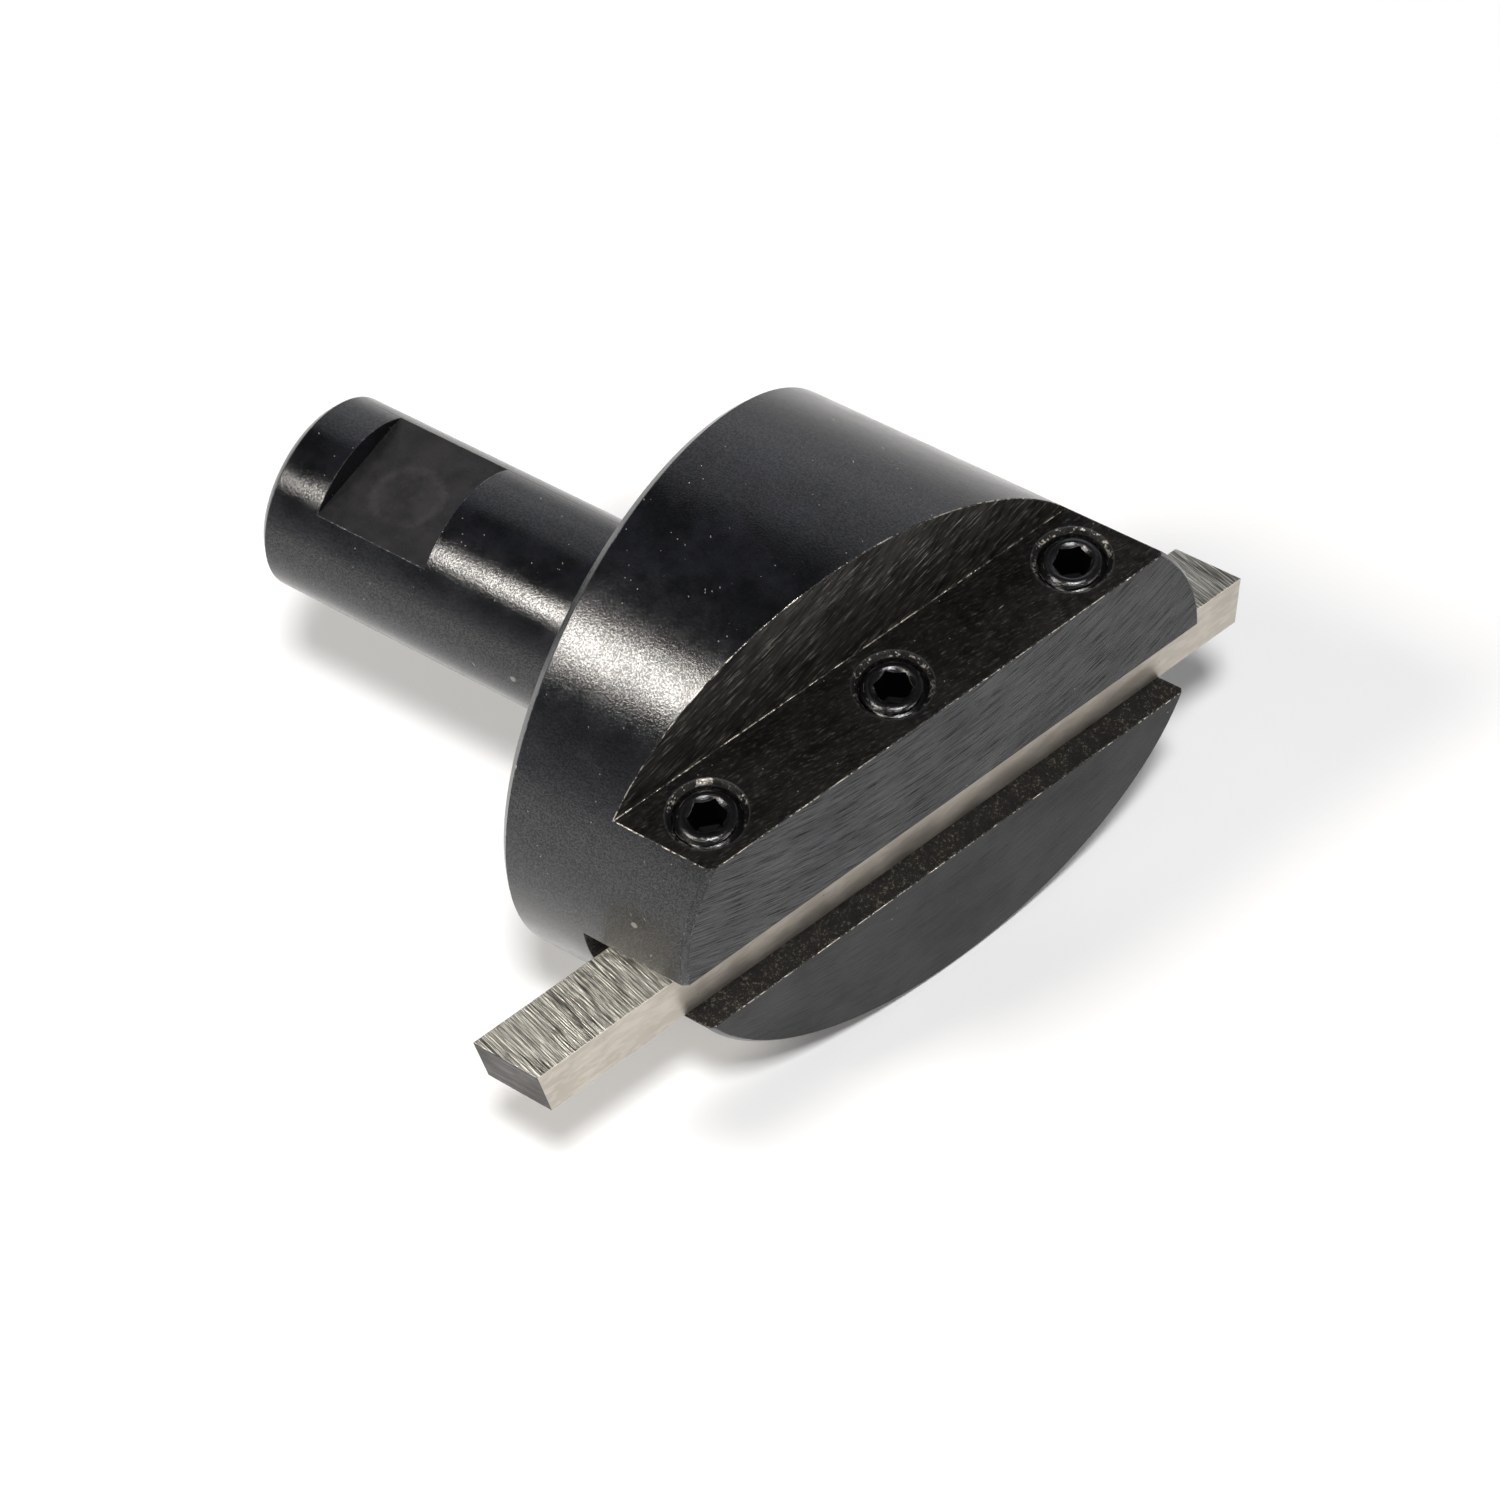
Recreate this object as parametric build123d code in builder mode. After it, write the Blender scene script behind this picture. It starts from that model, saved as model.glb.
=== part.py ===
from build123d import *
import math
import os

# Fly cutter for a milling machine. Millimetres and degrees.
# Row frame: X is the tool's axis, with the shank at -X and the cutting side at +X. Z is up, out of the
# face that the set screws go in. The origin is on the axis, in the shoulder where shank and head meet.

# Shank: 3/4 inch, with one side-lock flat
shank_diameter = 19.05
shank_length = 40.0
shank_end_chamfer = 0.8
flat_length = 12.0
flat_depth = 2.45
flat_middle_from_end = 11.8

# Head: a round blank, cut off by a front plane that leans over by the slot's angle
head_diameter = 54.0
head_back_chamfer = 0.8
slot_angle = 19.0
front_distance = 26.7
front_edge_chamfer = 0.4

# Step that the set screws stand in, and the slot that the tool bit lies in
step_depth = 9.15
step_height = 14.3
slot_depth = 9.9
slot_top = 0.25
slot_height = 9.15

# Tool bit: 1/4 inch square blank with bevelled ends
bit_width = 6.35
bit_height = 6.35
bit_length = 78.3
bit_setback = 2.6
bit_offset = -2.9
bit_end_bevel = 19.0
bit_end_relief = 4.0
bit_edge_chamfer = 0.08

# Set screws: M6, hexagon socket, cup point. Each one has stopped at its own angle when tightened.
screw_diameter = 6.0
screw_pitch = 1.0
screw_length = 16.7
screw_end_chamfer = 0.5
screw_spacing = 19.5
screw_setback = 4.65
socket_across_flats = 3.0
socket_mouth_diameter = 3.7
socket_depth = 4.0
tail_socket_turn = 42.0
middle_socket_turn = 24.0
tip_socket_turn = 40.0
point_diameter = 3.0
point_rim = 0.1
point_cup_angle = 30.0
hole_clearance = 0.05
hole_countersink_width = 0.45
seat_gap = 0.02

# Values that follow from the sizes above
shank_radius = shank_diameter / 2
head_radius = head_diameter / 2
screw_radius = screw_diameter / 2
hole_radius = screw_radius + hole_clearance
slot_bottom = slot_top - slot_height
bit_bottom = slot_bottom + seat_gap
bit_top = bit_bottom + bit_height
bit_front = front_distance - bit_setback
bit_middle_x = bit_front - bit_width / 2
screw_x = front_distance - screw_setback
screw_middle_y = screw_x * math.tan(math.radians(slot_angle))
bit_middle_y = screw_middle_y + bit_offset
screw_top = bit_top + seat_gap + screw_length
head_length = (front_distance + head_radius * math.sin(math.radians(slot_angle))) / math.cos(
    math.radians(slot_angle)
)
thread_depth = screw_pitch * math.sqrt(3) / 2 * 5 / 8
thread_flank = thread_depth * math.tan(math.radians(30))
thread_crest = screw_pitch / 8
thread_root = screw_pitch / 4
beyond = 2 * max(head_diameter, bit_length)

# The slot's frame: its x points out of the front plane, its y runs along the slot, its z is up
slot_frame = Plane.XY.rotated((0, 0, -slot_angle))
front_plane = Plane(
    origin=slot_frame.from_local_coords((front_distance, 0, 0)),
    z_dir=slot_frame.x_dir,
)


def slot_level(height):
    """The slot's frame, raised to a height above the tool's axis."""
    return slot_frame.offset(height)


def screw_place(along, height):
    """A point on a set screw's axis, by its distance along the slot from the middle screw."""
    return slot_frame.from_local_coords((screw_x, screw_middle_y + along, height))


def end_plane(side):
    """The plane of one end of the tool bit: side is 1 at the cutting end and -1 at the tail."""
    bevel = math.radians(bit_end_bevel)
    relief = math.radians(bit_end_relief)
    middle = (bit_middle_x, bit_middle_y + side * bit_length / 2, bit_top)
    outward = (
        -side * math.sin(bevel) * math.cos(relief),
        side * math.cos(bevel) * math.cos(relief),
        -math.sin(relief),
    )
    origin = slot_frame.from_local_coords(middle)
    direction = slot_frame.from_local_coords(outward)
    return Plane(origin=origin, z_dir=direction)


os.makedirs("parts", exist_ok=True)

# Holder body: shank and head turned from one bar, then milled
with BuildPart() as holder_body:
    with BuildSketch(Plane.XY) as turned_profile:
        with BuildLine():
            Polyline(
                (-shank_length, 0),
                (-shank_length, shank_radius - shank_end_chamfer),
                (-shank_length + shank_end_chamfer, shank_radius),
                (0, shank_radius),
                (0, head_radius - head_back_chamfer),
                (head_back_chamfer, head_radius),
                (head_length, head_radius),
                (head_length, 0),
                close=True,
            )
        make_face()
    revolve(axis=Axis.X)

    # The leaning front plane
    split(bisect_by=front_plane, keep=Keep.BOTTOM)

    # Side-lock flat on the shank
    flat_level = Plane.XY.offset(shank_radius - flat_depth)
    with BuildSketch(flat_level):
        with Locations((flat_middle_from_end - shank_length, 0)):
            Rectangle(flat_length, shank_diameter)
    extrude(amount=flat_depth, mode=Mode.SUBTRACT)

    # Step above the clamping jaw
    with BuildSketch(slot_level(step_height)):
        with Locations((front_distance - step_depth, 0)):
            Rectangle(2 * step_depth, beyond, align=(Align.MIN, Align.CENTER))
    extrude(amount=head_diameter, mode=Mode.SUBTRACT)

    # Slot for the tool bit, right across the head
    with BuildSketch(slot_level(slot_bottom)):
        with Locations((front_distance - slot_depth, 0)):
            Rectangle(2 * slot_depth, beyond, align=(Align.MIN, Align.CENTER))
    extrude(amount=slot_height, mode=Mode.SUBTRACT)

    # Broken edges where the front plane meets the round of the head
    front_faces = holder_body.faces().sort_by(Axis(origin=(0, 0, 0), direction=slot_frame.x_dir))[-2:]
    round_edges = front_faces.edges().filter_by(GeomType.LINE, reverse=True)
    chamfer(round_edges, length=front_edge_chamfer)

    # Tapped holes for the set screws, from the step down into the slot
    with Locations(*[
        Location(Plane(origin=screw_place(along, step_height), z_dir=(0, 0, 1)))
        for along in (-screw_spacing, 0, screw_spacing)
    ]):
        CounterSinkHole(
            radius=hole_radius,
            counter_sink_radius=hole_radius + hole_countersink_width,
            depth=step_height - slot_top,
            counter_sink_angle=90,
        )
holder_body.part.label = "holder_body"
export_step(holder_body.part, "parts/holder_body.step")

# Tool bit: square blank laid on the slot's lower face, cut at both ends
with BuildPart() as tool_bit:
    with BuildSketch(slot_level(bit_bottom)):
        with Locations((bit_middle_x, bit_middle_y)):
            Rectangle(bit_width, 2 * bit_length)
    extrude(amount=bit_height)
    long_edges = tool_bit.edges().filter_by(Axis(origin=(0, 0, 0), direction=slot_frame.y_dir))
    chamfer(long_edges, length=bit_edge_chamfer)
    for side in (-1, 1):
        split(bisect_by=end_plane(side), keep=Keep.BOTTOM)
tool_bit.part.label = "tool_bit"
export_step(tool_bit.part, "parts/tool_bit.step")

# Set screws, one at each tapped hole, their cup points on the tool bit
for screw_name, along, socket_turn in (
    ("set_screw_tail", -screw_spacing, tail_socket_turn),
    ("set_screw_middle", 0, middle_socket_turn),
    ("set_screw_tip", screw_spacing, tip_socket_turn),
):
    top = screw_place(along, screw_top)
    side_plane = Plane(origin=top, x_dir=(1, 0, 0), z_dir=(0, -1, 0))
    taper_start = screw_length - (screw_diameter - point_diameter) / 2
    outline = [(0, 0), (screw_radius - screw_end_chamfer, 0), (screw_radius, -screw_end_chamfer)]
    depth = screw_end_chamfer + thread_crest
    while depth + 2 * thread_flank + thread_root + thread_crest < taper_start:
        outline.append((screw_radius, -depth))
        outline.append((screw_radius - thread_depth, -depth - thread_flank))
        outline.append((screw_radius - thread_depth, -depth - thread_flank - thread_root))
        outline.append((screw_radius, -depth - 2 * thread_flank - thread_root))
        depth += screw_pitch
    cup_radius = point_diameter / 2 - point_rim
    outline.append((screw_radius, -taper_start))
    outline.append((point_diameter / 2, -screw_length))
    outline.append((cup_radius, -screw_length))
    outline.append((0, -screw_length + cup_radius * math.tan(math.radians(point_cup_angle))))
    with BuildPart() as set_screw:
        with BuildSketch(side_plane):
            with BuildLine():
                Polyline(outline, close=True)
            make_face()
        revolve(axis=Axis(origin=top, direction=(0, 0, 1)))
        with BuildSketch(Plane(origin=top, z_dir=(0, 0, 1))):
            RegularPolygon(
                radius=socket_across_flats / 2,
                side_count=6,
                major_radius=False,
                rotation=socket_turn,
            )
        extrude(amount=-socket_depth, mode=Mode.SUBTRACT)
        with Locations(Location(top)):
            Cone(
                bottom_radius=0,
                top_radius=socket_mouth_diameter / 2,
                height=socket_mouth_diameter / 2,
                align=(Align.CENTER, Align.CENTER, Align.MAX),
                mode=Mode.SUBTRACT,
            )
    set_screw.part.label = screw_name
    export_step(set_screw.part, f"parts/{screw_name}.step")
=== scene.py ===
import math

import bmesh
import bpy
from mathutils import Matrix, Vector


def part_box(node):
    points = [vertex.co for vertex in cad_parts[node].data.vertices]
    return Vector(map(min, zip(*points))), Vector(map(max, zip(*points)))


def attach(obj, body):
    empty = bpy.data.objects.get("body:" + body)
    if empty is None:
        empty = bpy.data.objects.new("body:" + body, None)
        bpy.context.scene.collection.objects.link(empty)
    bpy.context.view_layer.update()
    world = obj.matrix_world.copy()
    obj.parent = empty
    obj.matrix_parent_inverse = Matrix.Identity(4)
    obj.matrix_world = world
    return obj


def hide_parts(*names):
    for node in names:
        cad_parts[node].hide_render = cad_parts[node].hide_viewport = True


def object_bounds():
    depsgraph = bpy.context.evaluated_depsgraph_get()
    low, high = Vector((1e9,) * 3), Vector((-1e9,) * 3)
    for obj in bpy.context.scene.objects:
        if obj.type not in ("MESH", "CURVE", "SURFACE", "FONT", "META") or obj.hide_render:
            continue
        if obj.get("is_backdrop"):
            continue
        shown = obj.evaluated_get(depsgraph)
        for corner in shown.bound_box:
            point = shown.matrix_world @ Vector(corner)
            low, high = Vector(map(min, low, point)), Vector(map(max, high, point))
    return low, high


bl_info = {
    "name": "Fly Cutter",
    "version": (1, 0, 0),
    "blender": (4, 5, 0),
    "location": "3D View > Sidebar > Fly Cutter",
    "description": "Builds a milling fly cutter with its tool bit, set screws and a small studio",
    "category": "Add Mesh",
}

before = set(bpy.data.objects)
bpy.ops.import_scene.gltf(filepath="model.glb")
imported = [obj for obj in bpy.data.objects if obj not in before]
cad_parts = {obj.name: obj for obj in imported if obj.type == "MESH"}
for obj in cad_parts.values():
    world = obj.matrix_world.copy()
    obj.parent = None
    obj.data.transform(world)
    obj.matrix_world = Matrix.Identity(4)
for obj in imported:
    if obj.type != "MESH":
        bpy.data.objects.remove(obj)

MM = 0.001
SCREWS = {
    "set_screw_tail": ("screw_tail", 42.0),
    "set_screw_middle": ("screw_middle", 24.0),
    "set_screw_tip": ("screw_tip", 40.0),
}
# The bright edge finish is rubbed steel on the rims and a painted highlight in the hollow step corner.
FINISHES = [
    "turned", "step_wall", "screw_step", "upper_jaw", "shaded_lower_jaw", "slot", "lock_flat", "countersink",
    "rubbed_and_glint_edge", "dull_edge",
]
HOLDER_LOW, HOLDER_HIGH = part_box("holder_body")
BIT_LOW, BIT_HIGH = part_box("tool_bit")


def linear(hex_colour):
    """An sRGB hex colour as the linear colour that a shader takes."""
    channels = [int(hex_colour[i:i + 2], 16) / 255 for i in (1, 3, 5)]
    straight = [c / 12.92 if c <= 0.04045 else ((c + 0.055) / 1.055) ** 2.4 for c in channels]
    return (*straight, 1.0)


def length(name, description, millimetres):
    """A length property in metres, from its default in millimetres."""
    return bpy.props.FloatProperty(
        name=name, description=description, default=millimetres * MM, unit="LENGTH", precision=5
    )


def angle(name, description, degrees):
    """An angle property in radians, from its default in degrees."""
    return bpy.props.FloatProperty(
        name=name, description=description, default=math.radians(degrees), unit="ROTATION"
    )


def colour(name, description, hex_colour):
    """A colour property, from its default as an sRGB hex colour."""
    return bpy.props.FloatVectorProperty(
        name=name, description=description, default=linear(hex_colour), size=4, subtype="COLOR",
        min=0.0, max=1.0,
    )


def number(name, description, value, unit="NONE"):
    """A property that is a plain number."""
    return bpy.props.FloatProperty(name=name, description=description, default=value, unit=unit)


class HolderSizes(bpy.types.PropertyGroup):
    """Sizes of the holder body."""

    shank_radius: length("Shank radius", "Half of the shank's diameter", 9.525)
    shank_chamfer: length("Shank chamfer", "Chamfer at the shank's end", 0.8)
    back_chamfer: length("Back chamfer", "Chamfer round the back of the head", 0.8)
    slot_angle: angle("Slot angle", "How far the front plane and the slot lean over", 19.0)
    front_distance: length("Front distance", "From the origin to the front plane", 26.7)
    front_chamfer: length("Front chamfer", "Chamfer where the front plane meets the round", 0.4)
    step_depth: length("Step depth", "How far the screw step reaches back", 9.15)
    step_height: length("Step height", "Height of the screw step over the axis", 14.3)
    slot_depth: length("Slot depth", "How far the slot reaches back", 9.9)
    slot_top: length("Slot top", "Height of the slot's upper wall over the axis", 0.25)
    slot_height: length("Slot height", "Height of the slot", 9.15)
    flat_length: length("Flat length", "Length of the side-lock flat", 12.0)
    flat_depth: length("Flat depth", "Depth of the side-lock flat", 2.45)
    flat_middle: length("Flat middle", "From the shank's end to the flat's middle", 11.8)
    hole_radius: length("Hole radius", "Radius of the holes for the set screws", 3.05)
    countersink: length("Countersink", "Width of the countersink round each hole", 0.45)
    edge_round: length("Edge round", "Radius that handling has given to sharp edges", 0.06)


class BitSizes(bpy.types.PropertyGroup):
    """Sizes of the tool bit."""

    length: length("Length", "Length along the bit's middle line", 78.3)
    end_bevel: angle("End bevel", "Slant of the ends, seen from above", 19.0)
    end_relief: angle("End relief", "Slant of the ends, from top to bottom", 4.0)
    width: length("Width", "Width of the square blank", 6.35)
    setback: length("Setback", "From the front plane back to the bit", 2.6)
    edge_round: length("Edge round", "Radius of the bit's edges", 0.07)


class ScrewSizes(bpy.types.PropertyGroup):
    """Sizes of the set screws."""

    radius: length("Radius", "Half of the thread's outer diameter", 3.0)
    pitch: length("Pitch", "Rise of the thread in one turn", 1.0)
    end_chamfer: length("End chamfer", "Chamfer at the socket end", 0.5)
    socket: length("Socket", "Across the flats of the hexagon socket", 3.0)
    mouth_radius: length("Mouth radius", "Radius of the socket's lead-in", 1.85)
    socket_depth: length("Socket depth", "Depth of the socket", 4.0)
    point_radius: length("Point radius", "Radius of the cup point", 1.5)
    point_rim: length("Point rim", "Width of the cup point's rim", 0.1)
    point_cup: angle("Point cup", "Slope inside the cup point", 30.0)


class Finishes(bpy.types.PropertyGroup):
    """Colours of the metals and of the floor."""

    oxide: colour("Black oxide", "Black oxide on turned steel", "#090a0c")
    wall_dark: colour("Step wall, dark", "Black oxide on the step's wall", "#0d0c0b")
    wall_light: colour("Step wall, light", "Strokes on the step's wall", "#1e1c19")
    facet_dark: colour("Screw step, dark", "Black oxide round the screws", "#090807")
    facet_light: colour("Screw step, light", "Cutter marks round the screws", "#141210")
    front_dark: colour("Upper jaw, dark", "Black oxide on the upper jaw's front", "#111216")
    front_light: colour("Upper jaw, light", "Strokes on the upper jaw's front", "#26282c")
    # The lower jaw is the same faced plane as the upper jaw; its darker shades are painted shade.
    lower_shaded_dark: colour("Lower jaw, dark", "Black oxide on the lower jaw's front", "#060506")
    lower_shaded_light: colour("Lower jaw, light", "Strokes on the lower jaw's front", "#141214")
    steel: colour("Bare steel", "Steel where the oxide has rubbed off", "#cfc8bd")
    tool_steel: colour("Tool steel", "Ground high speed steel", "#c2bfb5")
    # Near black, far darker than steel: the dark streaks on the bit are painted reflection along real
    # grinding strokes.
    tool_steel_dark_reflection: colour("Tool steel, dark", "Grinding streaks on the tool steel", "#1e2022")
    tool_steel_side: colour("Tool steel, side", "Ground side of the tool bit", "#bfb8ae")
    # The end is the same ground steel as the other faces, painted far darker: painted shade.
    tool_steel_end_shaded: colour("Tool steel, end", "Ground end of the tool bit", "#393532")
    screw_black: colour("Screw black", "Black oxide on the set screws", "#0b0b0d")
    floor: colour("Floor", "The pale floor", "#f4f4f4")


# ---------------------------------------------------------------- nodes


SMOOTH = {"interpolation_type": "SMOOTHSTEP"}
# The sockets of a Mix node that blends colours. They share their names with its other sockets.
SHARE, UNDER, OVER, BLEND = 0, 6, 7, 2


def add(tree, kind, inputs=None, out=0, **settings):
    """Adds a node, sets it up, links or sets its inputs, and gives back one of its outputs."""
    node = tree.nodes.new(kind)
    for name, value in settings.items():
        setattr(node, name, value)
    for name, value in (inputs or {}).items():
        if isinstance(value, bpy.types.NodeSocket):
            tree.links.new(value, node.inputs[name])
        else:
            node.inputs[name].default_value = value
    return node.outputs[out] if node.outputs else None


def new_material(name):
    """An empty node material and its tree."""
    material = bpy.data.materials.new(name)
    material.use_nodes = True
    material.node_tree.nodes.clear()
    return material, material.node_tree


def millimetres(tree, turn=0.0, stretch=(1.0, 1.0, 1.0)):
    """The piece's own coordinates in millimetres, turned about Z, then stretched."""
    place = add(tree, "ShaderNodeTexCoord", {}, "Object")
    turned = add(tree, "ShaderNodeMapping", {"Vector": place, "Rotation": (0, 0, turn)})
    scale = tuple(s / MM for s in stretch)
    return add(tree, "ShaderNodeMapping", {"Vector": turned, "Scale": scale})


def specks(tree, place, spacing, size, share):
    """Small round specks, in a share of the cells."""
    cells = add(tree, "ShaderNodeTexVoronoi", {"Vector": place, "Scale": 1 / spacing})
    dot = add(tree, "ShaderNodeMapRange", {
        "Value": cells, "From Min": size / spacing * 0.5, "From Max": size / spacing, "To Min": 1.0,
        "To Max": 0.0,
    }, **SMOOTH)
    lottery = add(tree, "ShaderNodeSeparateColor", {0: cells.node.outputs["Color"]})
    return add(tree, "ShaderNodeMath", {
        0: dot,
        1: add(tree, "ShaderNodeMapRange", {
            "Value": lottery, "From Min": 1 - share, "From Max": 1.02 - share,
        }, **SMOOTH),
    }, operation="MULTIPLY")


def scratches(tree, place, turn, spacing, size, share):
    """Short straight scratches, seven times as long as wide, along one direction."""
    turned = add(tree, "ShaderNodeMapping", {"Vector": place, "Rotation": turn})
    drawn_out = add(tree, "ShaderNodeMapping", {"Vector": turned, "Scale": (0.14, 1.0, 1.0)})
    return specks(tree, drawn_out, spacing, size, share)


def cutter_arcs(tree, place, middle, radius, along, across):
    """Coordinates that follow the arcs a face cutter of this radius leaves on the front."""
    parts = add(tree, "ShaderNodeSeparateXYZ", {0: place}).node.outputs
    sideways = add(tree, "ShaderNodeMath", {0: parts["Y"], 1: middle}, operation="SUBTRACT")
    sag = add(tree, "ShaderNodeMath", {
        0: add(tree, "ShaderNodeMath", {0: sideways, 1: sideways}, operation="MULTIPLY"), 1: 0.5 / radius,
    }, operation="MULTIPLY")
    return add(tree, "ShaderNodeCombineXYZ", {
        "X": parts["X"], "Y": add(tree, "ShaderNodeMath", {0: sideways, 1: along}, operation="MULTIPLY"),
        "Z": add(tree, "ShaderNodeMath", {
            0: add(tree, "ShaderNodeMath", {0: parts["Z"], 1: sag}, operation="SUBTRACT"), 1: across,
        }, operation="MULTIPLY"),
    })


def near_edge(tree, reach):
    """1 close to an edge and 0 away from it, by how far a rounding would tilt the surface."""
    rounded = add(tree, "ShaderNodeBevel", {"Radius": reach}, samples=6)
    true = add(tree, "ShaderNodeNewGeometry", {}, "Normal")
    same = add(tree, "ShaderNodeVectorMath", {0: rounded, 1: true}, "Value", operation="DOT_PRODUCT")
    return add(tree, "ShaderNodeMapRange", {"Value": same, "From Min": 0.995, "From Max": 0.9}, **SMOOTH)


def rubbed_edges(tree, reach, patches, least, most):
    """Edges where the coat is rubbed off, but only where the patches are bright."""
    bare = add(tree, "ShaderNodeMapRange", {
        "Value": patches, "From Min": least, "From Max": most,
    }, **SMOOTH)
    return add(tree, "ShaderNodeMath", {0: near_edge(tree, reach), 1: bare}, operation="MULTIPLY")


def strongest(tree, *layers):
    """The strongest of several layers at each point, each first weakened by its factor."""
    most = 0.0
    for layer, factor in layers:
        weak = add(tree, "ShaderNodeMath", {0: layer, 1: factor}, operation="MULTIPLY")
        most = add(tree, "ShaderNodeMath", {0: most, 1: weak}, operation="MAXIMUM")
    return most


def patched(tree, under, over, layer, low, high, most=1.0):
    """One colour that gives way to another where a layer rises from low to high."""
    share = add(tree, "ShaderNodeMapRange", {
        "Value": layer, "From Min": low, "From Max": high, "To Max": most,
    }, **SMOOTH)
    return add(tree, "ShaderNodeMix", {
        SHARE: share, UNDER: under, OVER: over,
    }, BLEND, data_type="RGBA")


def coated_steel(tree, worn, coat, bare, roughness, inputs):
    """Ends a material: a dark coat that gives way to bare metal where it is worn."""
    layer, least, most = roughness
    rough = add(tree, "ShaderNodeMapRange", {
        "Value": layer, "From Min": 0.3, "From Max": 0.7, "To Min": least, "To Max": most,
    }, **SMOOTH)
    base = add(tree, "ShaderNodeMix", {SHARE: worn, UNDER: coat, OVER: bare}, BLEND, data_type="RGBA")
    surface = add(tree, "ShaderNodeBsdfPrincipled", {
        "Base Color": base, "Metallic": worn, "Roughness": rough, **inputs,
    })
    add(tree, "ShaderNodeOutputMaterial", {"Surface": surface})


# ---------------------------------------------------------------- materials


def turned_black_oxide():
    """Steel, turned and then blackened in a hot oxide bath and oiled."""
    # A thin glassy film over dark iron oxide: deep black, clear reflections, a grainy edge to each light.
    colours = bpy.context.scene.fly_cutter_finishes
    material, tree = new_material("turned_black_oxide")
    place = millimetres(tree)
    grain = add(tree, "ShaderNodeTexNoise", {
        "Vector": place, "Scale": 1 / 0.18, "Detail": 2.0, "Roughness": 0.8,
    })
    ripple = add(tree, "ShaderNodeTexNoise", {
        "Vector": place, "Scale": 1 / 1.2, "Detail": 4.0, "Roughness": 0.75,
    })
    clouds = add(tree, "ShaderNodeTexNoise", {
        "Vector": place, "Scale": 1 / 4.0, "Detail": 5.0, "Roughness": 0.65,
    })
    marks = strongest(
        tree,
        (scratches(tree, place, turn=(0.3, 0.5, 0.9), spacing=0.55, size=0.07, share=0.1), 1.0),
        (scratches(tree, place, turn=(1.2, -0.4, 2.2), spacing=0.7, size=0.07, share=0.12), 1.0),
        (scratches(tree, place, turn=(0.1, 1.1, 0.2), spacing=0.9, size=0.08, share=0.14), 1.0),
        (specks(tree, place, spacing=0.8, size=0.07, share=0.1), 1.0),
    )
    nicks = specks(tree, millimetres(tree, turn=0.5), spacing=5.0, size=0.4, share=0.22)
    rubbed = rubbed_edges(tree, reach=0.22 * MM, patches=ripple, least=0.5, most=0.62)
    worn = strongest(tree, (marks, 0.5), (nicks, 0.35), (rubbed, 0.6))
    black = patched(tree, colours.oxide, linear("#15161a"), layer=clouds, low=0.35, high=0.7)
    tilted = add(tree, "ShaderNodeBump", {"Height": grain, "Distance": 0.016 * MM, "Strength": 1.0})
    tilted = add(tree, "ShaderNodeBump", {
        "Height": add(tree, "ShaderNodeMath", {0: marks, 1: nicks}, operation="ADD"),
        "Distance": -0.03 * MM, "Strength": 1.0, "Normal": tilted,
    })
    coated_steel(tree, worn, black, colours.steel, (clouds, 0.12, 0.22), {
        "IOR": 1.65,
        "Specular IOR Level": add(tree, "ShaderNodeMapRange", {
            "Value": grain, "From Min": 0.4, "From Max": 0.62, "To Min": 0.24, "To Max": 0.52,
        }, **SMOOTH),
        "Normal": tilted,
    })
    return material


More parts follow.
